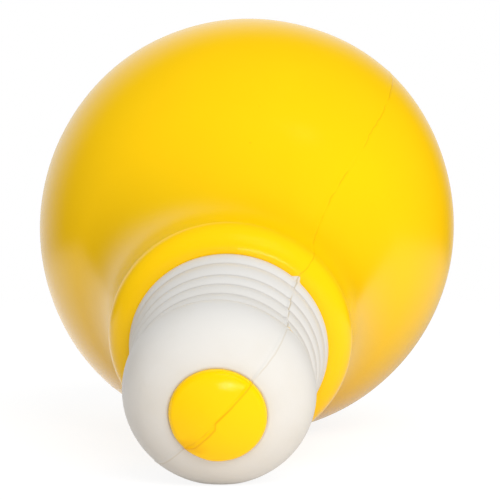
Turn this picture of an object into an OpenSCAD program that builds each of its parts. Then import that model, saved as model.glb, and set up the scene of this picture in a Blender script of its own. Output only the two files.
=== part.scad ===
// Light-bulb-shaped foam stress ball, lying on its side on a flat surface.
//
// The toy is one soft foam moulding: an open foam core under a closed yellow
// skin, with a white coat painted over the cap. Every layer is a solid of
// revolution about the bulb's own axis, so one set of profiles serves all
// three, each drawn a little further in than the one outside it.
//
// Each profile is drawn with X as the radius and Y as the distance from the
// centre of the globe towards the contact tip.

/* [Globe] */
// Diameter of the globe
globe_d = 68; // [60:0.5:80]

/* [Neck] */
// Diameter of the round collar at the end of the neck
collar_d = 35; // [32:0.2:38]
// Radius of the collar's rounding
collar_round = 3.4; // [2:0.1:4]
// Radius of the hollow that runs from the globe to the collar
hollow_round = 30; // [20:0.5:40]
// Distance from the globe's centre to the start of the cap
neck_end = 50.3; // [46:0.1:56]

/* [Cap] */
// Diameter of the cap where it leaves the neck
cap_d = 28; // [24:0.2:29]
// Diameter of the cap at its last groove
cap_end_d = 24.2; // [20:0.2:26]
// Width of the rim band next to the neck
rim_band = 2.7; // [1.5:0.1:4]
// Width of the broad band after the rim
broad_band = 3.3; // [2:0.1:5]
// Width of each narrow rib
rib_pitch = 2.55; // [1.6:0.05:4]
// Number of narrow ribs
rib_count = 3; // [1:1:6]
// Height of a band or rib above the grooves beside it
rib_height = 0.3; // [0.1:0.05:0.6]
// Length of the plain end, from the last groove to the end face
plain_end = 8.95; // [8:0.05:14]
// Rise of the plain end above the last groove
end_rise = 0.95; // [0.3:0.05:1.2]
// Radius of the swell from the last groove to the plain end
end_swell = 3; // [2:0.1:4]
// Radius of the rounding between the plain end and the end face
end_round = 5.8; // [4:0.1:6.2]

/* [Contact tip] */
// Diameter of the contact tip
tip_d = 13.1; // [9:0.1:13.6]
// Height of the tip's straight wall above the end face
tip_wall = 0.8; // [0.3:0.1:2]
// Rise of the tip's dome above its wall
tip_dome = 1.6; // [0.4:0.1:3]

/* [Layers] */
// Thickness of the closed yellow skin
skin_t = 1; // [0.6:0.1:2]
// Thickness of the white coat
coat_t = 0.25; // [0.15:0.05:0.5]

/* [Parting line] */
// Turn of the parting plane about the axis, away from straight up
seam_turn = 43.5; // [20:0.5:70]
// Width of the raised line left by the two mould halves
seam_w = 0.5; // [0.3:0.1:1]
// Height of the raised line
seam_h = 0.12; // [0.05:0.01:0.3]

/* [Rest] */
// How far the foam settles under the globe
globe_sink = 0.5; // [0.2:0.05:0.8]
// How far the foam settles under the cap
cap_sink = 0.2; // [0.05:0.05:0.4]

/* [Hidden] */
$fn = 96;

globe_r = globe_d / 2;
cap_r = cap_d / 2;
cap_end_r = cap_end_d / 2;
end_r = cap_end_r + end_rise;
tip_r = tip_d / 2;

// Centre of the collar's rounding
collar_r = collar_d / 2 - collar_round;
collar_s = neck_end - collar_round;

// Centre of the hollow, which cuts a hair into the globe and the collar so
// that their surfaces cross instead of only touching
lap = 0.02;
collar_gap = norm([collar_r, collar_s]);
hollow_gap = globe_r + hollow_round - lap;
turn_gap = collar_round + hollow_round - lap;
along = (pow(collar_gap, 2) + pow(hollow_gap, 2) - pow(turn_gap, 2)) / (2 * collar_gap);
out = sqrt(pow(hollow_gap, 2) - pow(along, 2));
hollow_r = (along * collar_r + out * collar_s) / collar_gap;
hollow_s = (along * collar_s - out * collar_r) / collar_gap;

// Edges of the bands along the axis: the rim, the broad band, then the ribs
band_edges = [
    neck_end,
    neck_end + rim_band,
    for (i = [0 : rib_count]) neck_end + rim_band + broad_band + i * rib_pitch
];
ribs_end = band_edges[len(band_edges) - 1];
cap_end = ribs_end + plain_end;

// The plain end swells from the last groove to its full radius at swell_s
swell_s = ribs_end + sqrt(pow(end_swell, 2) - pow(end_swell - end_rise, 2));

// The groove radius falls evenly from the neck to the last groove
function groove_r(s) =
    cap_r + (cap_end_r - cap_r) * (s - neck_end) / (ribs_end - neck_end);

// Sphere that the tip's dome is part of
dome_r = (pow(tip_r, 2) + pow(tip_dome, 2)) / (2 * tip_dome);
dome_s = cap_end + tip_wall + tip_dome - dome_r;

// The bulb lies on its globe and on the rounded end of its cap, so its axis
// slopes down towards the cap
corner_s = cap_end - end_round;
corner_r = end_r - end_round;
lie_drop = globe_r - globe_sink - end_round + cap_sink;
lie_slope = asin(lie_drop / norm([corner_s, corner_r])) - atan2(corner_r, corner_s);

// Reach of the cap past the globe's centre, measured along the surface
reach = max(
    dome_s * cos(lie_slope) + dome_r,
    corner_s * cos(lie_slope) + corner_r * sin(lie_slope) + end_round,
    (cap_end + tip_wall) * cos(lie_slope) + tip_r * sin(lie_slope)
);
globe_y = (reach - globe_r) / 2;
globe_z = globe_r - globe_sink;

// Half the side of a block that holds the whole toy
block = globe_d + cap_end;

// Globe, hollow and collar, `inset` inside the outer surface
module glass_profile(inset) {
    intersection() {
        circle(globe_r - inset);
        translate([0, -globe_r - block]) square([block, 2 * block]);
    }
    difference() {
        polygon([[0, 0], [hollow_r, hollow_s], [collar_r, collar_s], [0, collar_s]]);
        translate([hollow_r, hollow_s]) circle(hollow_round + inset);
    }
    translate([0, collar_s]) square([collar_r, collar_round - inset]);
    translate([collar_r, collar_s]) circle(collar_round - inset);
}

// One band or rib: a shallow arc from one groove to the next
module band_profile(from, to, inset) {
    from_r = groove_r(from);
    to_r = groove_r(to);
    half_width = norm([to - from, to_r - from_r]) / 2;
    arc_r = (pow(half_width, 2) + pow(rib_height, 2)) / (2 * rib_height);
    lean = atan2(from_r - to_r, to - from);
    translate([(from_r + to_r) / 2, (from + to) / 2])
        rotate(lean)
            translate([rib_height - arc_r, 0]) circle(arc_r - inset);
}

// The cap without its bands, up to the rounding on its end
module taper_profile(inset) {
    polygon([
        [0, collar_s],
        [cap_r - inset, collar_s],
        [cap_r - inset, neck_end],
        [cap_end_r - inset, ribs_end],
        [end_r - inset, swell_s],
        [end_r - inset, corner_s],
        [0, corner_s]
    ]);
}

// The rounding between the plain end and the end face
module rounding_profile(inset) {
    translate([0, collar_s]) square([corner_r, cap_end - inset - collar_s]);
    intersection() {
        translate([corner_r, corner_s]) circle(end_round - inset);
        square([block, block]);
    }
}

// Tapered cap with its bands, ribs and swelling plain end. The taper stays
// behind the bands, so that each groove is the meeting of two arcs.
module cap_profile(inset) {
    taper_profile(inset + rib_height);
    intersection() {
        for (i = [0 : len(band_edges) - 2])
            band_profile(band_edges[i], band_edges[i + 1], inset);
        translate([0, neck_end]) square([block, block]);
    }
    translate([end_r - end_swell, swell_s]) circle(end_swell - inset);
    translate([0, swell_s]) square([end_r - inset, corner_s - swell_s]);
    rounding_profile(inset);
}

// Contact tip: a low wall with a dome, `rise` above the moulded surface
module tip_profile(rise) {
    intersection() {
        translate([0, corner_s]) square([tip_r + rise, block]);
        translate([0, dome_s]) circle(dome_r + rise);
    }
}

// Everything that the yellow skin covers, outer surface `rise` further out
module skin_profile(rise) {
    glass_profile(-rise);
    cap_profile(coat_t - rise);
    tip_profile(rise);
}

// Full turn of a profile about the bulb's axis
module turned() {
    rotate_extrude() children();
}

// The thin slice of a turned shape that lies in the parting plane
module seam_slice() {
    intersection() {
        turned() children();
        rotate([0, 0, -seam_turn]) cube([seam_w, 2 * block, 2 * block], center = true);
    }
}

// Lays a shape on the surface and presses it flat where it rests: up to
// `under_globe` below the globe and up to `under_cap` below the cap
module laid(under_globe, under_cap) {
    difference() {
        translate([0, globe_y, globe_z]) rotate([90 + lie_slope, 0, 0]) children();
        translate([-block, -block, -block]) cube([2 * block, 2 * block, block + under_globe]);
        translate([-block, globe_y - neck_end * cos(lie_slope) - block, -block])
            cube([2 * block, block, block + under_cap]);
    }
}

module core_shape() {
    turned() {
        glass_profile(skin_t);
        taper_profile(coat_t + skin_t);
        rounding_profile(coat_t + skin_t);
    }
}

module skin_shape() {
    turned() skin_profile(0);
    seam_slice() skin_profile(seam_h);
}

module foam_core() {
    color("khaki")
        laid(skin_t, coat_t + skin_t) core_shape();
}

module foam_skin() {
    color("gold")
        difference() {
            laid(0, coat_t) skin_shape();
            laid(skin_t, coat_t + skin_t) core_shape();
        }
}

module cap_coat() {
    color("whitesmoke")
        difference() {
            laid(0, 0) {
                intersection() {
                    union() {
                        turned() cap_profile(0);
                        seam_slice() cap_profile(-seam_h);
                    }
                    translate([-block, -block, neck_end])
                        cube([2 * block, 2 * block, block]);
                }
            }
            laid(0, coat_t) skin_shape();
        }
}

foam_core();
foam_skin();
cap_coat();
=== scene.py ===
"""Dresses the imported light-bulb-shaped stress ball and sets its studio stage.

Everything is in metres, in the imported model's frame: the toy lies on z = 0 with
its cap towards -Y. The bulb's own frame has its origin at the centre of the
globe, Z along the axis to the contact tip, and the parting plane at x = 0.
"""

import math

import bmesh
import bpy
from bpy.props import (
    FloatProperty,
    FloatVectorProperty,
    IntProperty,
    PointerProperty,
)
from mathutils import Matrix, Vector, noise


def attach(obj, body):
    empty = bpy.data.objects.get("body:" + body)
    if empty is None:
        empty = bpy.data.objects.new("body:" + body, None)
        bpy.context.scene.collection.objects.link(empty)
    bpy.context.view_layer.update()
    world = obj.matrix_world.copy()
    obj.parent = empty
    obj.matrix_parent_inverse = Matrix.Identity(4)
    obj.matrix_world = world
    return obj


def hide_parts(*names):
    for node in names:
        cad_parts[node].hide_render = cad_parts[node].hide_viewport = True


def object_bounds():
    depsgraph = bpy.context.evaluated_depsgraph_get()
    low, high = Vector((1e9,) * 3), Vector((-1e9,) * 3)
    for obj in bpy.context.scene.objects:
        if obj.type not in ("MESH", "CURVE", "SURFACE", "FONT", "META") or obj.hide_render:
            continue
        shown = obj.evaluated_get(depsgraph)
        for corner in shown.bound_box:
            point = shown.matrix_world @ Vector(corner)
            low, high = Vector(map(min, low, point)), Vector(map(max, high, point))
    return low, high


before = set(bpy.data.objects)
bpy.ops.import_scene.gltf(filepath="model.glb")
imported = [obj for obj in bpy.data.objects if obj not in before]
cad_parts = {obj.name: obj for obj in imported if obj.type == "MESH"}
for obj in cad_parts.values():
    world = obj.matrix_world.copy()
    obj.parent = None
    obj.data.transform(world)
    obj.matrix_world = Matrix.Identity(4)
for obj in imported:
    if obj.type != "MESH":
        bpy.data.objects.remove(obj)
CAD_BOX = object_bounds()

bl_info = {
    "name": "Bulb Stress Ball",
    "version": (1, 0, 0),
    "blender": (4, 5, 0),
    "location": "View3D > Sidebar > Stress Ball",
    "description": "Foam stress ball in the form of a light bulb, with its studio stage",
    "category": "Object",
}

MM = 0.001


# ---------------------------------------------------------------- properties


def millimetres(name, description, default, low=0.0):
    """A length property that is written in millimetres and kept in metres."""
    return FloatProperty(
        name=name,
        description=description,
        default=default * MM,
        min=low * MM,
        precision=5,
        subtype="DISTANCE",
        unit="LENGTH",
    )


def paint(name, description, default):
    """A colour property, in linear light."""
    return FloatVectorProperty(
        name=name, description=description, default=default, size=3, min=0, max=1, subtype="COLOR"
    )


def turn(name, description, degrees):
    """An angle property that is written in degrees and kept in radians."""
    return FloatProperty(
        name=name,
        description=description,
        default=math.radians(degrees),
        subtype="ANGLE",
        unit="ROTATION",
    )


class BulbSizes(bpy.types.PropertyGroup):
    globe_radius: millimetres("Globe radius", "Radius of the round globe", 34)
    collar_radius: millimetres("Collar radius", "Radius of the collar at the neck's end", 17.5)
    collar_round: millimetres("Collar rounding", "Radius of the collar's rounding", 3.4)
    hollow: millimetres("Hollow", "Radius of the hollow between globe and collar", 30)
    neck_end: millimetres("Neck end", "Distance from the globe's centre to the cap", 50.3)
    cap_radius: millimetres("Cap radius", "Radius of the cap where it leaves the neck", 14)
    cap_end_radius: millimetres("Last groove", "Radius of the cap at its last groove", 12.1)
    rim_band: millimetres("Rim band", "Width of the band next to the neck", 2.7)
    broad_band: millimetres("Broad band", "Width of the band after the rim", 3.3)
    rib_pitch: millimetres("Rib pitch", "Width of each narrow rib", 2.55)
    rib_count: IntProperty(name="Ribs", description="Number of narrow ribs", default=3, min=1)
    rib_height: millimetres("Rib height", "Height of a band above its grooves", 0.3)
    plain_end: millimetres("Plain end", "Length from the last groove to the end face", 9.3)
    end_rise: millimetres("End rise", "Rise of the plain end above the last groove", 1.05)
    end_swell: millimetres("End swell", "Radius of the swell from that groove", 2)
    end_round: millimetres("End rounding", "Radius between plain end and end face", 7.4)
    tip_radius: millimetres("Tip radius", "Radius of the contact tip", 6.55)
    tip_wall: millimetres("Tip wall", "Height of the tip's straight wall", 0.8)
    tip_dome: millimetres("Tip dome", "Rise of the tip's dome above its wall", 1.4)
    tip_edge: millimetres("Tip edge", "Rounding between the tip's wall and dome", 1)
    skin: millimetres("Skin", "Thickness of the closed yellow skin", 1)
    coat: millimetres("Coat", "Thickness of the white coat", 0.25)


class BulbLie(bpy.types.PropertyGroup):
    globe_sink: millimetres("Globe settling", "How far the foam settles under the globe", 0.5)
    cap_sink: millimetres("Cap settling", "How far the foam settles under the cap", 0.2)
    seam_turn: turn("Parting plane", "Turn of the parting plane from straight up", 43.5)
    seam_height: millimetres("Seam height", "Height of the line left by the mould", 0.13)
    seam_width: millimetres("Seam width", "Half width of the line left by the mould", 0.2)
    flash_height: millimetres("Flash height", "Height of that line on the cap's coat", 0.24)
    chip_place: millimetres("Chip place", "Distance of the coat's chip from the globe's centre", 65)
    parting_stray: millimetres("Parting stray", "How far the parting line strays at the chip", 0.7)
    tip_stray: millimetres("Tip stray", "How far the parting line strays low on the tip", 0.6)
    half_slip: millimetres("Half slip", "Offset between the two mould halves at the cap", 0.12)
    unevenness: millimetres("Unevenness", "Depth of the moulding's soft unevenness", 0.12)
    parting_swell: millimetres("Parting swell", "Swelling of the globe along its parting line", 0.5)
    cap_lean: millimetres("Cap lean", "How far the cap's soft end leans aside", 0.4)


class BulbPaints(bpy.types.PropertyGroup):
    yellow: paint("Yellow", "Colour of the foam's skin", (1.0, 0.615, 0.0))
    # Also the painted shade in the hollows of the foam core's cells
    yellow_deep_and_shade: paint("Deep yellow", "Colour in the skin's creases and pores", (0.72, 0.30, 0.0))
    white: paint("White", "Colour of the cap's coat", (0.695, 0.685, 0.66))
    white_worn: paint("Worn white", "Colour where the coat is thin or rubbed", (0.50, 0.43, 0.29))
    # Painted shade colour for the bottoms of the cap's grooves
    white_groove_shade: paint("Groove white", "Colour in the cap's grooves", (0.42, 0.375, 0.345))
    foam: paint("Foam", "Colour of the foam inside", (0.86, 0.56, 0.08))


class BulbStage(bpy.types.PropertyGroup):
    camera_place: FloatVectorProperty(
        name="Camera place",
        description="Where the camera stands",
        default=(0.01821, -0.31508, 0.04141),
        size=3,
        subtype="TRANSLATION",
        unit="LENGTH",
    )
    camera_pitch: turn("Camera pitch", "Tilt of the camera up from straight down", 87.97)
    camera_roll: turn("Camera roll", "Roll of the camera", 0.11)
    camera_yaw: turn("Camera yaw", "Turn of the camera about the vertical", 3.03)
    lens: FloatProperty(
        name="Lens", description="Focal length in millimetres on a 36 mm frame", default=145.7
    )
    floor_radius: millimetres("Floor radius", "Radius of the round floor", 420)


# ------------------------------------------------------------------- outline

# How far apart the points of an outline lie, closer where it bends or shows more
CORE_STEP = 1.2 * MM
BROAD_STEP = 0.9 * MM
LONG_STEP = 0.6 * MM
DOME_STEP = 0.5 * MM
END_STEP = 0.4 * MM
ROUND_STEP = 0.3 * MM
RIB_STEP = 0.28 * MM
WALL_STEP = 0.2 * MM
EDGE_STEP = 0.1 * MM

# Points closer than this, where two runs meet, are one point
SAME_POINT = 1e-6


def arc(centre, radius, start, end, step):
    """Points (r, s) on an arc, angles in radians, spaced about step apart."""
    count = max(2, math.ceil(abs(end - start) * radius / step))
    return [
        (
            centre[0] + radius * math.cos(start + (end - start) * i / count),
            centre[1] + radius * math.sin(start + (end - start) * i / count),
        )
        for i in range(count + 1)
    ]


def straight(start, end, step):
    """Points (r, s) on a straight stretch, both ends included."""
    length = math.dist(start, end)
    count = max(1, math.ceil(length / step))
    return [
        (
            start[0] + (end[0] - start[0]) * i / count,
            start[1] + (end[1] - start[1]) * i / count,
        )
        for i in range(count + 1)
    ]


def joined(*runs):
    """Runs of points put end to end, with doubled points left out."""
    points = []
    for run in runs:
        for point in run:
            if not points or math.dist(points[-1], point) > SAME_POINT:
                points.append(point)
    return points


def band_edges(size):
    """Distances of the grooves from the globe's centre, from the neck to the plain end."""
    edges = [size.neck_end, size.neck_end + size.rim_band]
    first = edges[-1] + size.broad_band
    return edges + [first + i * size.rib_pitch for i in range(size.rib_count + 1)]


def cap_face(size):
    """Distance of the cap's end face from the globe's centre."""
    return band_edges(size)[-1] + size.plain_end


def hollow_centre(size):
    """Centre (r, s) of the hollow that touches both the globe and the collar's rounding."""
    collar = Vector((size.collar_radius - size.collar_round, size.neck_end - size.collar_round))
    from_globe = size.globe_radius + size.hollow
    from_collar = size.collar_round + size.hollow
    gap = collar.length
    along = (gap**2 + from_globe**2 - from_collar**2) / (2 * gap)
    out = math.sqrt(from_globe**2 - along**2)
    axis = collar.normalized()
    return along * axis + out * Vector((axis.y, -axis.x)), collar


def glass_outline(size, inset):
    """Globe, hollow and collar, from the far pole to the foot of the cap."""
    centre, collar = hollow_centre(size)
    lean = math.atan2(centre.y, centre.x)
    undercut = math.atan2(centre.y - collar.y, centre.x - collar.x)
    return joined(
        arc((0, 0), size.globe_radius - inset, -math.pi / 2, lean, BROAD_STEP),
        arc(centre, size.hollow + inset, math.pi + lean, math.pi + undercut, LONG_STEP),
        arc(collar, size.collar_round - inset, undercut, math.pi / 2, ROUND_STEP),
    )


def ribbed_outline(size, inset):
    """The cap's bands and ribs, each a shallow arc from groove to groove."""
    edges = band_edges(size)
    fall = (size.cap_end_radius - size.cap_radius) / (edges[-1] - edges[0])
    runs = []
    for low, high in zip(edges, edges[1:]):
        low_r = size.cap_radius + fall * (low - edges[0]) - inset
        high_r = size.cap_radius + fall * (high - edges[0]) - inset
        half = math.dist((low_r, low), (high_r, high)) / 2
        radius = (half**2 + size.rib_height**2) / (2 * size.rib_height)
        lean = math.atan2(low_r - high_r, high - low)
        reach = math.asin(half / radius)
        middle = ((low_r + high_r) / 2, (low + high) / 2)
        centre = (
            middle[0] + (size.rib_height - radius) * math.cos(lean),
            middle[1] + (size.rib_height - radius) * math.sin(lean),
        )
        runs.append(arc(centre, radius, lean - reach, lean + reach, RIB_STEP))
    return joined(*runs)


def end_corner(size):
    """Centre (r, s) of the rounding between the plain end and the end face."""
    return (
        size.cap_end_radius + size.end_rise - size.end_round,
        cap_face(size) - size.end_round,
    )


def end_outline(size, inset, inner_r):
    """The plain end, swelling from the last groove, and its rounding in to inner_r."""
    corner_r, corner_s = end_corner(size)
    radius = size.end_round - inset
    last = math.acos(max(0.0, inner_r - corner_r) / radius)
    face = corner_s + radius * math.sin(last)
    barrel_r = corner_r + radius
    swell = size.end_swell
    start = math.acos((swell - size.end_rise) / swell)
    swell_s = band_edges(size)[-1] + swell * math.sin(start)
    return joined(
        arc((barrel_r + inset - swell, swell_s), swell - inset, -start, 0, ROUND_STEP),
        straight((barrel_r, swell_s), (barrel_r, corner_s), LONG_STEP),
        arc((corner_r, corner_s), radius, 0, last, END_STEP),
        straight((max(corner_r, inner_r), face), (inner_r, face), END_STEP),
    )


def tip_outline(size, foot):
    """The contact tip from its foot at distance `foot`, up its wall and over its dome."""
    rim_s = cap_face(size) + size.tip_wall
    dome = (size.tip_radius**2 + size.tip_dome**2) / (2 * size.tip_dome)
    dome_s = rim_s + size.tip_dome - dome
    edge = size.tip_edge
    edge_r = size.tip_radius - edge
    edge_s = dome_s + math.sqrt((dome - edge) ** 2 - edge_r**2)
    lean = math.atan2(edge_s - dome_s, edge_r)
    return joined(
        straight((size.tip_radius, foot), (size.tip_radius, edge_s), WALL_STEP),
        arc((edge_r, edge_s), edge, 0, lean, EDGE_STEP),
        arc((0, dome_s), dome, lean, math.pi / 2, DOME_STEP),
    )


def skin_outline(size):
    """The yellow moulding: globe, neck, the cap under its coat, and the tip."""
    under = size.coat
    return joined(
        glass_outline(size, 0.0),
        straight(
            (size.collar_radius - size.collar_round, size.neck_end),
            (size.cap_radius - under, size.neck_end),
            WALL_STEP,
        ),
        ribbed_outline(size, under),
        end_outline(size, under, size.tip_radius),
        tip_outline(size, cap_face(size) - under),
    )


def coat_outline(size):
    """The white coat's outer face, from the neck to the edge of the tip's opening."""
    return joined(ribbed_outline(size, 0.0), end_outline(size, 0.0, size.tip_radius))


def core_outline(size):
    """The open foam inside the skin."""
    inset = size.skin
    deep = size.skin + size.coat
    edges = band_edges(size)
    face = cap_face(size)
    corner_r, _ = end_corner(size)
    return joined(
        glass_outline(size, inset),
        straight(
            (size.cap_radius - deep, size.neck_end - inset),
            (size.cap_end_radius - deep, edges[-1]),
            CORE_STEP,
        ),
        end_outline(size, deep, corner_r),
        straight((corner_r, face - deep), (0, face - deep), CORE_STEP),
    )


# ---------------------------------------------------------------------- lie


def bulb_to_frame(size, lie):
    """The matrix that lays the bulb's own frame on the surface."""
    corner_r, corner_s = end_corner(size)
    drop = size.globe_radius - lie.globe_sink - size.end_round + lie.cap_sink
    slope = math.asin(drop / math.hypot(corner_s, corner_r)) - math.atan2(corner_r, corner_s)
    low, high = CAD_BOX
    globe = Vector(
        ((low[0] + high[0]) / 2, high[1] - size.globe_radius, size.globe_radius - lie.globe_sink)
    )
    tilt = Matrix.Rotation(math.pi / 2 + slope, 4, "X")
    parting = Matrix.Rotation(-lie.seam_turn, 4, "Z")
    return Matrix.Translation(globe) @ tilt @ parting


# ---------------------------------------------------------------- mesh tools

# Columns round the visible shapes and round the core, and how strongly the visible
# ones crowd to the parting plane
VISIBLE_COLUMNS = 288
CORE_COLUMNS = 96
CROWDING = 0.85

# How close points merge where a shape closes on itself, and what counts as the axis
MERGE_DISTANCE = 2e-6
ON_AXIS = 1e-7

# Share of the coat's thickness that its own mesh takes, to leave a hair to the skin
COAT_SHARE = 0.9

# Breaks in the parting line: their length, how much of the line stands on average,
# how strongly it comes and goes, coarse and fine, and how much finer the fine ones are
BREAK_LENGTH = 2.2 * MM
BREAK_MEAN = 0.55
BREAK_COARSE = 0.75
BREAK_FINE = 0.5
BREAK_FINER = 3.1

# The coat's parting line starts to stray this far past the neck, and is led back
# between these two distances past the chip
STRAY_START = 7 * MM
STRAY_BACK = (0.4 * MM, 1.4 * MM)

# On the tip it strays between the first two distances below the middle, and is led
# back between the other two from the edge
TIP_STRAY_START = (0.2 * MM, 1.2 * MM)
TIP_STRAY_BACK = (1.4 * MM, 0.3 * MM)

# Depth below the cap's face over which the tip's own marks fade, and how far to each
# side a straying line draws the surface along
TIP_FADE = 0.3 * MM
STRAY_REACH = 3 * MM

# The slip of the mould halves starts this far past the neck and is complete this many
# seam widths from the parting plane
SLIP_START = 0.5 * MM
SLIP_REACH = 1.5

# Size of the spur at the cap's rim, and where it is pulled to
SPUR_SIZE = 0.45 * MM
SPUR_PULL = Vector((0.1 * MM, 0.9 * MM, -0.7 * MM))

# Waves of the soft unevenness: wide ones, small ones, where in the noise each starts,
# and how strong the small ones are
WIDE_WAVE = 26 * MM
SMALL_WAVE = 9 * MM
WIDE_START = Vector((3.1, 7.7, 1.9))
SMALL_START = Vector((11.3, 2.4, 5.6))
SMALL_SHARE = 0.3

# The unevenness starts this far from the axis and is complete after this length more
EVEN_RADIUS = 6 * MM
EVEN_FADE = 14 * MM

# The parting swell: its half width, how far towards the neck it ends and its fade there
SWELL_WIDTH = 15 * MM
SWELL_END = 42 * MM
SWELL_FADE = 20 * MM

# The cap leans over this length; from this far below its face the lean falls off by
# this share
LEAN_LENGTH = 14 * MM
TIP_LEAN_DEPTH = 1.5 * MM
TIP_LEAN_LESS = 0.7

# Height over which the surface rounds off into a flat it rests on
REST_BLEND = 0.15 * MM


def spun(name, outline, columns):
    """A turned shape: the outline, swept once round Z from the parting plane."""
    shape = bmesh.new()
    verts = [shape.verts.new((0.0, r, s)) for r, s in outline]
    edges = [shape.edges.new(pair) for pair in zip(verts, verts[1:])]
    bmesh.ops.spin(
        shape,
        geom=verts + edges,
        cent=(0, 0, 0),
        axis=(0, 0, 1),
        angle=math.tau,
        steps=columns,
        use_merge=True,
    )
    bmesh.ops.remove_doubles(shape, verts=shape.verts, dist=MERGE_DISTANCE)
    bmesh.ops.recalc_face_normals(shape, faces=shape.faces)
    return shape


def crowd_to_seam(shape):
    """Turns the columns towards the parting plane, to leave fine ones beside it."""
    for vert in shape.verts:
        radius = math.hypot(vert.co.x, vert.co.y)
        if radius > ON_AXIS:
            angle = math.atan2(vert.co.x, vert.co.y)
            angle -= CROWDING / 2 * math.sin(2 * angle)
            vert.co.x = radius * math.sin(angle)
            vert.co.y = radius * math.cos(angle)


def share_past(value, start, length):
    """0 up to start, then rising evenly to 1 over the length."""
    return min(1.0, max(0.0, (value - start) / length))


def smooth_step(value, low, high):
    """A smooth step from 0 at low to 1 at high."""
    share = share_past(value, low, high - low)
    return share * share * (3 - 2 * share)


def coat_stray_span(size, lie):
    """Where along the cap the parting line strays, and where it is led back."""
    chip = lie.chip_place
    return (size.neck_end + STRAY_START, chip), (chip + STRAY_BACK[0], chip + STRAY_BACK[1])


def tip_stray_span(size):
    """Where below the tip's middle the parting line strays, and where it is led back."""
    edge = size.tip_radius
    return TIP_STRAY_START, (edge - TIP_STRAY_BACK[0], edge - TIP_STRAY_BACK[1])


def raise_seam(shape, lie, size, seam_height, end_height):
    """The raised line that the mould leaves, thin and broken, and the slip between the halves."""
    _, corner_s = end_corner(size)
    leaves, returns = coat_stray_span(size, lie)
    tip_leaves, tip_returns = tip_stray_span(size)
    face = cap_face(size)
    for vert in shape.verts:
        back = smooth_step(vert.co.z, *returns)
        strayed = lie.parting_stray * smooth_step(vert.co.z, *leaves) * (1 - back)
        below = -vert.co.y
        low = smooth_step(below, *tip_leaves) * (1 - smooth_step(below, *tip_returns))
        strayed += lie.tip_stray * low * smooth_step(vert.co.z, face - TIP_FADE, face)
        vert.co.x += strayed * math.exp(-((vert.co.x / STRAY_REACH) ** 2))
        across = (vert.co.x - strayed) / lie.seam_width
        along = Vector((0.0, vert.co.y, vert.co.z)) / BREAK_LENGTH
        ragged = BREAK_MEAN + BREAK_COARSE * noise.noise(along)
        ragged += BREAK_FINE * noise.noise(along * BREAK_FINER)
        height = seam_height + (end_height - seam_height) * back
        height *= max(0.0, ragged) * math.exp(-across * across)
        inside = Vector((0.0, 0.0, min(max(vert.co.z, 0.0), corner_s)))
        vert.co += (vert.co - inside).normalized() * height
        if vert.co.z > size.neck_end + SLIP_START:
            vert.co.z += lie.half_slip / 2 * max(-1.0, min(1.0, across / SLIP_REACH))


def pull_spur(shape, size):
    """A small fin of coat left standing where the parting line meets the neck."""
    foot = Vector((0.0, size.cap_radius, size.neck_end))
    for vert in shape.verts:
        near = math.exp(-(((vert.co - foot).length / SPUR_SIZE) ** 2))
        vert.co += near * SPUR_PULL


def soften(shape, lie):
    """The soft unevenness of a foam moulding, and its slight swelling at the parting line."""
    shape.normal_update()
    for vert in shape.verts:
        wide = noise.noise(vert.co / WIDE_WAVE + WIDE_START)
        small = noise.noise(vert.co / SMALL_WAVE + SMALL_START)
        fade = share_past(math.hypot(vert.co.x, vert.co.y), EVEN_RADIUS, EVEN_FADE)
        vert.co += vert.normal * lie.unevenness * fade * (wide + SMALL_SHARE * small)
        across = vert.co.x / SWELL_WIDTH
        on_globe = share_past(-vert.co.z, -SWELL_END, SWELL_FADE)
        swell = lie.parting_swell * fade * on_globe * math.exp(-across * across)
        vert.co += vert.normal * swell


def lean_cap(shape, size, lie):
    """Leans the cap's soft end a little to the -X side of the laid toy."""
    aside = Matrix.Rotation(lie.seam_turn, 3, "Z") @ Vector((-lie.cap_lean, 0.0, 0.0))
    start = size.neck_end
    tip_start = cap_face(size) - TIP_LEAN_DEPTH
    for vert in shape.verts:
        leant = smooth_step(vert.co.z, start, start + LEAN_LENGTH)
        on_tip = share_past(vert.co.z, tip_start, TIP_LEAN_DEPTH)
        vert.co += aside * leant * (1 - TIP_LEAN_LESS * on_tip)


def settle(shape, floor_z):
    """Presses the laid foam flat on the surface, with a soft edge round each flat."""
    for vert in shape.verts:
        over = vert.co.z - floor_z
        if over < REST_BLEND:
            vert.co.z = floor_z + max(0.0, over + REST_BLEND) ** 2 / (4 * REST_BLEND)


def to_object(shape, name, material, node):
    """Makes the shape a piece that rides on the root body and stands for a CAD node."""
    mesh = bpy.data.meshes.new(name)
    shape.to_mesh(mesh)
    shape.free()
    mesh.shade_smooth()
    mesh.materials.append(material)
    piece = bpy.data.objects.new(name, mesh)
    bpy.context.scene.collection.objects.link(piece)
    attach(piece, "root")
    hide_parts(node)
    return piece


# ----------------------------------------------------------------- materials


def shader(name, roughness, specular):
    """A new material: its node tree, its shader and its material."""
    material = bpy.data.materials.new(name)
    material.use_nodes = True
    tree = material.node_tree
    surface = tree.nodes["Principled BSDF"]
    surface.inputs["Roughness"].default_value = roughness
    surface.inputs["Specular IOR Level"].default_value = specular
    return material, tree, surface


def bulb_coordinates(tree, place):
    """Coordinates in the bulb's own frame, in metres, from the object's."""
    source = tree.nodes.new("ShaderNodeTexCoord")
    mapping = tree.nodes.new("ShaderNodeMapping")
    mapping.vector_type = "TEXTURE"
    mapping.inputs["Location"].default_value = place.to_translation()
    mapping.inputs["Rotation"].default_value = place.to_euler("XYZ")
    tree.links.new(source.outputs["Object"], mapping.inputs["Vector"])
    return mapping.outputs["Vector"]


# The middle of a noise texture's value, and its detail where nothing else is said
NOISE_MIDDLE = 0.5
NOISE_DETAIL = 2.0


def noise_field(tree, coordinates, scale, detail=NOISE_DETAIL):
    """A noise texture's value."""
    node = tree.nodes.new("ShaderNodeTexNoise")
    node.inputs["Scale"].default_value = scale
    node.inputs["Detail"].default_value = detail
    tree.links.new(coordinates, node.inputs["Vector"])
    return node.outputs["Fac"]


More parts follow.
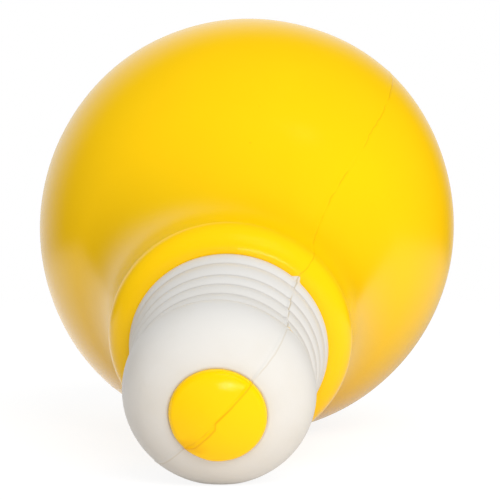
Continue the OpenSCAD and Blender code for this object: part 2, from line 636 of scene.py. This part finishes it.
def split(tree, vector):
    """The X, Y and Z of a vector."""
    node = tree.nodes.new("ShaderNodeSeparateXYZ")
    tree.links.new(vector, node.inputs["Vector"])
    return tuple(node.outputs)


def arithmetic(tree, operation, first, second=0.0):
    """A Math node's result; each input is a socket or a number."""
    node = tree.nodes.new("ShaderNodeMath")
    node.operation = operation
    for socket, value in zip(node.inputs, (first, second)):
        if isinstance(value, (int, float)):
            socket.default_value = value
        else:
            tree.links.new(value, socket)
    return node.outputs[0]


def product(tree, first, *others):
    """All the inputs multiplied, each a socket or a number."""
    for other in others:
        first = arithmetic(tree, "MULTIPLY", first, other)
    return first


def ramp(tree, value, low, high, from_value=0.0, to_value=1.0):
    """A smooth step of value between low and high."""
    node = tree.nodes.new("ShaderNodeMapRange")
    node.interpolation_type = "SMOOTHSTEP"
    for name, number in (
        ("From Min", low),
        ("From Max", high),
        ("To Min", from_value),
        ("To Max", to_value),
    ):
        node.inputs[name].default_value = number
    tree.links.new(value, node.inputs["Value"])
    return node.outputs["Result"]


def patches(tree, coordinates, scale, detail, span, strength):
    """Patches of noise: 0 below a span of its value, and the strength above it."""
    return ramp(tree, noise_field(tree, coordinates, scale, detail), *span, 0.0, strength)


def blend_colours(tree, factor, first, second):
    """Mixes two colours; each is a socket or a linear colour."""
    node = tree.nodes.new("ShaderNodeMix")
    node.data_type = "RGBA"
    tree.links.new(factor, node.inputs["Factor"])
    for name, value in (("A", first), ("B", second)):
        socket = next(s for s in node.inputs if s.name == name and s.type == "RGBA")
        if isinstance(value, bpy.types.NodeSocket):
            tree.links.new(value, socket)
        else:
            socket.default_value = (*value, 1.0)
    return next(s for s in node.outputs if s.type == "RGBA")


def bumped(tree, surface, height, distance):
    """Feeds a height, in units of the distance, to the shader's normal."""
    bump = tree.nodes.new("ShaderNodeBump")
    bump.inputs["Strength"].default_value = 1.0
    bump.inputs["Distance"].default_value = distance
    tree.links.new(height, bump.inputs["Height"])
    tree.links.new(bump.outputs["Normal"], surface.inputs["Normal"])


def grained(tree, surface, coordinates, scale, depth):
    """Gives the shader a fine grain."""
    bumped(tree, surface, noise_field(tree, coordinates, scale), depth)


# The skin: roughness, roughness of the tip and the depth over which it changes, and
# share of mirrored light
SKIN_ROUGHNESS = 0.22
TIP_ROUGHNESS = 0.17
TIP_ROUGHNESS_DEPTH = 0.5 * MM
SKIN_SPECULAR = 0.32

# The coat: roughness, share of mirrored light, how strongly painted shade darkens its grooves,
# and how far from a groove's bottom that painted shade is full and has ended
COAT_ROUGHNESS = 0.42
COAT_SPECULAR = 0.3
GROOVE_SHADOW = 0.35
GROOVE_SPAN = (0.04 * MM, 0.22 * MM)

# Patches that darken a surface, each with its noise's scale and detail, the span of its
# value in which the patches come up, and how strong they are
SKIN_CLOUDS = (55.0, 3.0, (0.35, 0.75), 0.05)
SKIN_PORES = (900.0, 1.0, (0.80, 0.86), 0.25)
COAT_CLOUDS = (110.0, 3.0, (0.4, 0.75), 0.12)

# The grain of a surface: its noise's scale, and its depth
SKIN_GRAIN = (1600.0, 0.012 * MM)
COAT_GRAIN = (1300.0, 0.014 * MM)

# The foam: roughness, share of mirrored light, cells per metre, the span from a cell's
# middle to its wall, and depth of the cells
FOAM_ROUGHNESS = 0.9
FOAM_SPECULAR = 0.1
FOAM_CELLS = 1400.0
FOAM_CELL_SPAN = (0.05, 0.45)
FOAM_CELL_DEPTH = 0.25 * MM

# Marks along the parting line, each with its half width, the noise below which it is
# missing, and how far it wavers
SKIN_MARK = (0.13 * MM, 0.44, 1.1 * MM)
TIP_MARK = (0.2 * MM, 0.3, 0.5 * MM)
STAIN_MARK = (1.8 * MM, 0.3, 2.0 * MM)
COAT_MARK = (0.16 * MM, 0.36, 0.5 * MM)
CHIP_MARK = (0.7 * MM, -1.0, 0.5 * MM)

# How strong each mark is; the coat's is given before and after the chip
SKIN_MARK_STRENGTH = 0.36
TIP_MARK_STRENGTH = 0.45
STAIN_STRENGTH = 0.35
COAT_MARK_STRENGTHS = (0.7, 0.3)
CHIP_STRENGTH = 0.9

# How far below the tip's middle the stain starts and is complete, and how far along
# the line the chip is full and has ended
STAIN_SPAN = (3.0 * MM, 6.0 * MM)
CHIP_SPAN = (0.2 * MM, 0.8 * MM)

# Every mark: the noise it wavers with, the noise it breaks with, the share of its half
# width at full strength, and how softly a break ends
WAVER_SCALE = 260.0
WAVER_DETAIL = 3.0
BREAK_SCALE = 140.0
MARK_CORE = 0.3
BREAK_SOFTNESS = 0.12


def seam_mask(tree, coordinates, mark, strayed=0.0):
    """1 on the parting line and 0 away from it, thin, wavering and broken along its length."""
    width, missing, waver = mark
    x, _, _ = split(tree, coordinates)
    wave = noise_field(tree, coordinates, WAVER_SCALE, WAVER_DETAIL)
    wave = product(tree, arithmetic(tree, "SUBTRACT", wave, NOISE_MIDDLE), waver)
    shift = arithmetic(tree, "SUBTRACT", wave, strayed)
    away = arithmetic(tree, "ABSOLUTE", arithmetic(tree, "ADD", x, shift))
    line = ramp(tree, away, width * MARK_CORE, width, 1.0, 0.0)
    along = noise_field(tree, coordinates, BREAK_SCALE)
    return product(tree, line, ramp(tree, along, missing, missing + BREAK_SOFTNESS))


def stray(tree, position, leaves, returns, distance):
    """How far the parting line strays: the distance between two spans, 0 outside them."""
    away = ramp(tree, position, *leaves, 0.0, distance)
    return product(tree, away, ramp(tree, position, *returns, 1.0, 0.0))


def yellow_material(paints, size, lie, place):
    """Closed yellow polyurethane skin, satin, with fine grain and a darker parting line,
    and fouled beside that line low on the tip."""
    material, tree, surface = shader("yellow_skin", SKIN_ROUGHNESS, SKIN_SPECULAR)
    where = bulb_coordinates(tree, place)
    _, y, z = split(tree, where)
    deep = paints.yellow_deep_and_shade
    base = blend_colours(tree, patches(tree, where, *SKIN_CLOUDS), paints.yellow, deep)
    base = blend_colours(tree, patches(tree, where, *SKIN_PORES), base, deep)
    faint = product(tree, seam_mask(tree, where, SKIN_MARK), SKIN_MARK_STRENGTH)
    base = blend_colours(tree, faint, base, deep)
    face = cap_face(size)
    on_tip = ramp(tree, z, face - TIP_FADE, face)
    below = product(tree, y, -1.0)
    strayed = product(tree, stray(tree, below, *tip_stray_span(size), lie.tip_stray), on_tip)
    line = seam_mask(tree, where, TIP_MARK, strayed)
    base = blend_colours(tree, product(tree, line, on_tip, TIP_MARK_STRENGTH), base, deep)
    foul = ramp(tree, below, *STAIN_SPAN, 0.0, STAIN_STRENGTH)
    stain = seam_mask(tree, where, STAIN_MARK, strayed)
    base = blend_colours(tree, product(tree, foul, stain, on_tip), base, deep)
    tree.links.new(base, surface.inputs["Base Color"])
    depth = face - TIP_ROUGHNESS_DEPTH
    polish = ramp(tree, z, depth, face, SKIN_ROUGHNESS, TIP_ROUGHNESS)
    tree.links.new(polish, surface.inputs["Roughness"])
    grained(tree, surface, where, *SKIN_GRAIN)
    return material


def groove_mask(tree, distance, size):
    """1 in the bottom of each groove of the cap and 0 on the bands."""
    mask = None
    for edge in band_edges(size)[1:]:
        away = arithmetic(tree, "ABSOLUTE", arithmetic(tree, "SUBTRACT", distance, edge))
        line = ramp(tree, away, *GROOVE_SPAN, 1.0, 0.0)
        mask = line if mask is None else arithmetic(tree, "MAXIMUM", mask, line)
    return mask


def white_material(paints, size, lie, place):
    """White elastic coat, satin, with painted shade in its grooves, rubbed along the parting line
    and chipped down to the skin in one place."""
    material, tree, surface = shader("white_coat", COAT_ROUGHNESS, COAT_SPECULAR)
    where = bulb_coordinates(tree, place)
    _, _, z = split(tree, where)
    clouds = patches(tree, where, *COAT_CLOUDS)
    base = blend_colours(tree, clouds, paints.white, paints.white_worn)
    # Painted shade in the bottom of each groove
    shadow = product(tree, groove_mask(tree, z, size), GROOVE_SHADOW)
    base = blend_colours(tree, shadow, base, paints.white_groove_shade)
    leaves, returns = coat_stray_span(size, lie)
    strayed = stray(tree, z, leaves, returns, lie.parting_stray)
    line = seam_mask(tree, where, COAT_MARK, strayed)
    worn = product(tree, line, ramp(tree, z, *returns, *COAT_MARK_STRENGTHS))
    base = blend_colours(tree, worn, base, paints.white_worn)
    away = arithmetic(tree, "ABSOLUTE", arithmetic(tree, "SUBTRACT", z, lie.chip_place))
    chip = ramp(tree, away, *CHIP_SPAN, CHIP_STRENGTH, 0.0)
    chip = product(tree, chip, seam_mask(tree, where, CHIP_MARK, strayed))
    base = blend_colours(tree, chip, base, paints.yellow)
    tree.links.new(base, surface.inputs["Base Color"])
    grained(tree, surface, where, *COAT_GRAIN)
    return material


def foam_material(paints, place):
    """Open polyurethane foam, with its cells, their hollow middles darkened with painted shade."""
    material, tree, surface = shader("open_foam", FOAM_ROUGHNESS, FOAM_SPECULAR)
    where = bulb_coordinates(tree, place)
    cells = tree.nodes.new("ShaderNodeTexVoronoi")
    cells.inputs["Scale"].default_value = FOAM_CELLS
    tree.links.new(where, cells.inputs["Vector"])
    hollow = ramp(tree, cells.outputs["Distance"], *FOAM_CELL_SPAN)
    # The cells' hollow middles take the deep yellow as painted shade
    base = blend_colours(tree, hollow, paints.yellow_deep_and_shade, paints.foam)
    tree.links.new(base, surface.inputs["Base Color"])
    bumped(tree, surface, hollow, FOAM_CELL_DEPTH)
    return material


# ----------------------------------------------------------------- operators


class STRESSBALL_OT_skin(bpy.types.Operator):
    """Makes the yellow skin, from the globe to the contact tip"""

    bl_idname = "stressball.skin"
    bl_label = "Yellow Skin"

    def execute(self, context):
        size = context.scene.bulb_sizes
        lie = context.scene.bulb_lie
        place = bulb_to_frame(size, lie)
        shape = spun("skin", skin_outline(size), VISIBLE_COLUMNS)
        crowd_to_seam(shape)
        soften(shape, lie)
        raise_seam(shape, lie, size, lie.seam_height, lie.seam_height)
        lean_cap(shape, size, lie)
        bmesh.ops.transform(shape, matrix=place, verts=shape.verts)
        settle(shape, 0.0)
        material = yellow_material(context.scene.bulb_paints, size, lie, place)
        piece = to_object(shape, "skin_moulding", material, "foam_skin")
        return {"FINISHED"}


class STRESSBALL_OT_coat(bpy.types.Operator):
    """Makes the white coat over the cap"""

    bl_idname = "stressball.coat"
    bl_label = "White Coat"

    def execute(self, context):
        size = context.scene.bulb_sizes
        lie = context.scene.bulb_lie
        place = bulb_to_frame(size, lie)
        shape = spun("coat", coat_outline(size), VISIBLE_COLUMNS)
        crowd_to_seam(shape)
        bmesh.ops.solidify(shape, geom=list(shape.faces), thickness=COAT_SHARE * size.coat)
        raise_seam(shape, lie, size, lie.flash_height, lie.seam_height)
        pull_spur(shape, size)
        lean_cap(shape, size, lie)
        bmesh.ops.transform(shape, matrix=place, verts=shape.verts)
        settle(shape, 0.0)
        material = white_material(context.scene.bulb_paints, size, lie, place)
        to_object(shape, "cap_paint", material, "cap_coat")
        return {"FINISHED"}


class STRESSBALL_OT_core(bpy.types.Operator):
    """Makes the open foam core inside the skin"""

    bl_idname = "stressball.core"
    bl_label = "Foam Core"

    def execute(self, context):
        size = context.scene.bulb_sizes
        lie = context.scene.bulb_lie
        place = bulb_to_frame(size, lie)
        shape = spun("core", core_outline(size), CORE_COLUMNS)
        bmesh.ops.transform(shape, matrix=place, verts=shape.verts)
        settle(shape, size.skin)
        material = foam_material(context.scene.bulb_paints, place)
        piece = to_object(shape, "core_foam", material, "foam_core")
        return {"FINISHED"}


class STRESSBALL_OT_stage(bpy.types.Operator):
    """Sets the floor, the studio light, the white surroundings and the camera"""

    bl_idname = "stressball.stage"
    bl_label = "Studio Stage"

    def execute(self, context):
        make_floor(context.scene.bulb_stage)
        make_surroundings(context.scene)
        for light in STUDIO_LIGHTS:
            make_light(*light)
        make_camera(context.scene, context.scene.bulb_stage)
        return {"FINISHED"}


# --------------------------------------------------------------------- stage

# How the floor shows: its own pale glow, and the part of it that takes shadows
FLOOR_GLOW = 0.87
FLOOR_SHADE = (0.2, 0.2, 0.2)

# The floor's corners, its roughness and share of mirrored light, how far out it starts
# to thin, and the share of its radius at which it is gone
FLOOR_CORNERS = 96
FLOOR_ROUGHNESS = 0.8
FLOOR_SPECULAR = 0.1
FLOOR_THINS = 0.14
FLOOR_GONE = 0.98

# What the floor throws back as soft light; its own soft light towards the front and the
# right: colour, direction, the span over which it comes up, and strength
FLOOR_BOUNCE = (0.75, 0.7, 0.66)
FRONT_LIGHT = (1.0, 0.94, 0.84)
FRONT_SIDE = (0.7, -0.7, 0.0)
FRONT_SPAN = (0.01, 0.07)
FRONT_STRENGTH = 0.76

# How bright the floor is in a reflection: to the left, to the right, in front and
# behind, and the spans over which it changes sideways and from front to back
GLEAM_LEFT = 1.2
GLEAM_RIGHT = 0.6
GLEAM_FRONT = 0.0
GLEAM_BACK = 1.0
GLEAM_SIDEWAYS = (-0.05, 0.05)
GLEAM_FORWARD = (-0.08, -0.02)

# A glowing spot on the floor, seen only in reflections, that paints a highlight on the contact tip:
# place, radii and brightness
TIP_GLINT_PLACE = (0.022, -0.165, 0.0)
TIP_GLINT_RADII = (0.010, 0.032)
TIP_GLINT_GLEAM = 16.0

# The room's even light; its back wall in a reflection: brightness, direction, and how
# squarely a ray has to meet it for it to start and to be full
ROOM_LIGHT = 0.55
ROOM_GLEAM = 1.0
WALL_SIDE = (-0.28, 1.0, 0.15)
WALL_SPAN = (0.66, 1.05)

# Name, place, the point it faces, size in metres and power in watts
STUDIO_LIGHTS = (("key_light", (0.34, -0.80, 0.68), (0.0, 0.0, 0.03), 0.7, 7.9),)

# The camera's frame in millimetres, and the nearest distance it sees in metres
FRAME_WIDTH = 36.0
NEAREST = 0.01


def make_light(name, place, target, width, power):
    """A square soft light at a place, turned to a point, that shows in no reflection."""
    light = bpy.data.lights.new(name, "AREA")
    light.shape = "SQUARE"
    light.size = width
    light.energy = power
    lamp = bpy.data.objects.new(name, light)
    lamp.visible_glossy = False
    lamp.location = place
    lamp.rotation_euler = (Vector(target) - Vector(place)).to_track_quat("-Z", "Y").to_euler()
    bpy.context.scene.collection.objects.link(lamp)


def glowing(tree, strength, colour=(1.0, 1.0, 1.0)):
    """A shader that gives off light; the strength is a socket or a number."""
    node = tree.nodes.new("ShaderNodeEmission")
    node.inputs["Color"].default_value = (*colour, 1.0)
    if isinstance(strength, bpy.types.NodeSocket):
        tree.links.new(strength, node.inputs["Strength"])
    else:
        node.inputs["Strength"].default_value = strength
    return node.outputs["Emission"]


def added(tree, first, second):
    """Adds two shader outputs."""
    node = tree.nodes.new("ShaderNodeAddShader")
    tree.links.new(first, node.inputs[0])
    tree.links.new(second, node.inputs[1])
    return node.outputs["Shader"]


def mixed(tree, factor, first, second):
    """Mixes two shader outputs."""
    node = tree.nodes.new("ShaderNodeMixShader")
    tree.links.new(factor, node.inputs["Fac"])
    tree.links.new(first, node.inputs[1])
    tree.links.new(second, node.inputs[2])
    return node.outputs["Shader"]


def measured(tree, operation, vector, other=(0.0, 0.0, 0.0)):
    """The number that a Vector Math node finds for a vector and a fixed one."""
    node = tree.nodes.new("ShaderNodeVectorMath")
    node.operation = operation
    tree.links.new(vector, node.inputs[0])
    node.inputs[1].default_value = other
    return node.outputs["Value"]


def mirrored_rays(tree, path):
    """1 for rays that come off a reflection or through glass."""
    return arithmetic(
        tree, "MAXIMUM", path.outputs["Is Glossy Ray"], path.outputs["Is Transmission Ray"]
    )


def floor_shown(tree):
    """The floor as the camera sees it: a pale glow that still takes shadows."""
    pale = tree.nodes.new("ShaderNodeBsdfDiffuse")
    pale.inputs["Color"].default_value = (*FLOOR_SHADE, 1.0)
    return added(tree, glowing(tree, FLOOR_GLOW), pale.outputs["BSDF"])


def floor_mirrored(tree, position):
    """The floor as the toy's gloss mirrors it, with a glowing spot that paints a highlight on the
    contact tip.
    """
    x, y, _ = split(tree, position)
    sideways = ramp(tree, x, *GLEAM_SIDEWAYS, GLEAM_LEFT, GLEAM_RIGHT)
    forward = ramp(tree, y, *GLEAM_FORWARD, GLEAM_FRONT, GLEAM_BACK)
    # A glowing spot, seen only in reflections, that paints a highlight on the contact tip
    from_tip_glint = measured(tree, "DISTANCE", position, TIP_GLINT_PLACE)
    tip_glint_glow = ramp(tree, from_tip_glint, *TIP_GLINT_RADII, TIP_GLINT_GLEAM, 0.0)
    return glowing(tree, arithmetic(tree, "ADD", product(tree, sideways, forward), tip_glint_glow))


def floor_lighting(tree, position, surface):
    """The floor as it lights the toy: what it throws back, and its own light in front."""
    outwards = measured(tree, "DOT_PRODUCT", position, FRONT_SIDE)
    lit = ramp(tree, outwards, *FRONT_SPAN, 0.0, FRONT_STRENGTH)
    return added(tree, surface.outputs["BSDF"], glowing(tree, lit, FRONT_LIGHT))


def make_floor(stage):
    """A round white floor that thins out at its edge into the white surroundings."""
    shape = bmesh.new()
    radius = stage.floor_radius
    bmesh.ops.create_circle(shape, cap_ends=True, radius=radius, segments=FLOOR_CORNERS)
    mesh = bpy.data.meshes.new("floor")
    shape.to_mesh(mesh)
    shape.free()
    material, tree, surface = shader("floor", FLOOR_ROUGHNESS, FLOOR_SPECULAR)
    surface.inputs["Base Color"].default_value = (*FLOOR_BOUNCE, 1.0)
    position = tree.nodes.new("ShaderNodeTexCoord").outputs["Object"]
    path = tree.nodes.new("ShaderNodeLightPath")
    by_ray = mixed(
        tree,
        mirrored_rays(tree, path),
        floor_lighting(tree, position, surface),
        floor_mirrored(tree, position),
    )
    by_ray = mixed(tree, path.outputs["Is Camera Ray"], by_ray, floor_shown(tree))
    distance = measured(tree, "LENGTH", position)
    edge = ramp(tree, distance, FLOOR_THINS, radius * FLOOR_GONE)
    clear = tree.nodes.new("ShaderNodeBsdfTransparent")
    thinned = mixed(tree, edge, by_ray, clear.outputs["BSDF"])
    output = next(node for node in tree.nodes if node.type == "OUTPUT_MATERIAL")
    tree.links.new(thinned, output.inputs["Surface"])
    mesh.materials.append(material)
    floor = bpy.data.objects.new("floor", mesh)
    bpy.context.scene.collection.objects.link(floor)


def make_surroundings(scene):
    """White all round for the camera; in reflections a back wall, wider on the left."""
    world = bpy.data.worlds.new("studio")
    scene.world = world
    world.use_nodes = True
    tree = world.node_tree
    background = tree.nodes["Background"]
    background.inputs["Color"].default_value = (1.0, 1.0, 1.0, 1.0)
    direction = tree.nodes.new("ShaderNodeTexCoord").outputs["Generated"]
    towards_wall = measured(tree, "DOT_PRODUCT", direction, WALL_SIDE)
    wall = ramp(tree, towards_wall, *WALL_SPAN, 0.0, ROOM_GLEAM)
    path = tree.nodes.new("ShaderNodeLightPath")
    gleam = product(tree, mirrored_rays(tree, path), wall)
    seen = arithmetic(tree, "MAXIMUM", path.outputs["Is Camera Ray"], gleam)
    plain = product(tree, path.outputs["Is Diffuse Ray"], ROOM_LIGHT)
    strength = arithmetic(tree, "MAXIMUM", seen, plain)
    tree.links.new(strength, background.inputs["Strength"])


def make_camera(scene, stage):
    """The photograph's viewpoint: nearly level with the toy, in front of its tip."""
    lens = bpy.data.cameras.new("camera")
    lens.sensor_width = FRAME_WIDTH
    lens.lens = stage.lens
    lens.clip_start = NEAREST
    camera = bpy.data.objects.new("camera", lens)
    camera.location = stage.camera_place
    camera.rotation_euler = (stage.camera_pitch, stage.camera_roll, stage.camera_yaw)
    scene.collection.objects.link(camera)
    scene.camera = camera


# --------------------------------------------------------------------- panel


class STRESSBALL_PT_panel(bpy.types.Panel):
    """Lists the toy's pieces and sizes"""

    bl_label = "Stress Ball"
    bl_idname = "STRESSBALL_PT_panel"
    bl_space_type = "VIEW_3D"
    bl_region_type = "UI"
    bl_category = "Stress Ball"

    def draw(self, context):
        for operator in PIECES:
            self.layout.operator(operator.bl_idname)
        for group in GROUPS:
            column = self.layout.column(align=True)
            settings = getattr(context.scene, group)
            for name in settings.bl_rna.properties.keys():
                if name not in {"rna_type", "name"}:
                    column.prop(settings, name)


PIECES = (STRESSBALL_OT_core, STRESSBALL_OT_skin, STRESSBALL_OT_coat, STRESSBALL_OT_stage)
GROUPS = {
    "bulb_sizes": BulbSizes,
    "bulb_lie": BulbLie,
    "bulb_paints": BulbPaints,
    "bulb_stage": BulbStage,
}


def register():
    for cls in (*GROUPS.values(), *PIECES, STRESSBALL_PT_panel):
        bpy.utils.register_class(cls)
    for name, group in GROUPS.items():
        setattr(bpy.types.Scene, name, PointerProperty(type=group))


def unregister():
    for name in GROUPS:
        delattr(bpy.types.Scene, name)
    for cls in reversed((*GROUPS.values(), *PIECES, STRESSBALL_PT_panel)):
        bpy.utils.unregister_class(cls)


def main():
    register()
    bpy.context.scene.view_settings.view_transform = "Standard"
    bpy.ops.stressball.core()
    bpy.ops.stressball.skin()
    bpy.ops.stressball.coat()
    bpy.ops.stressball.stage()


if __name__ == "__main__":
    main()
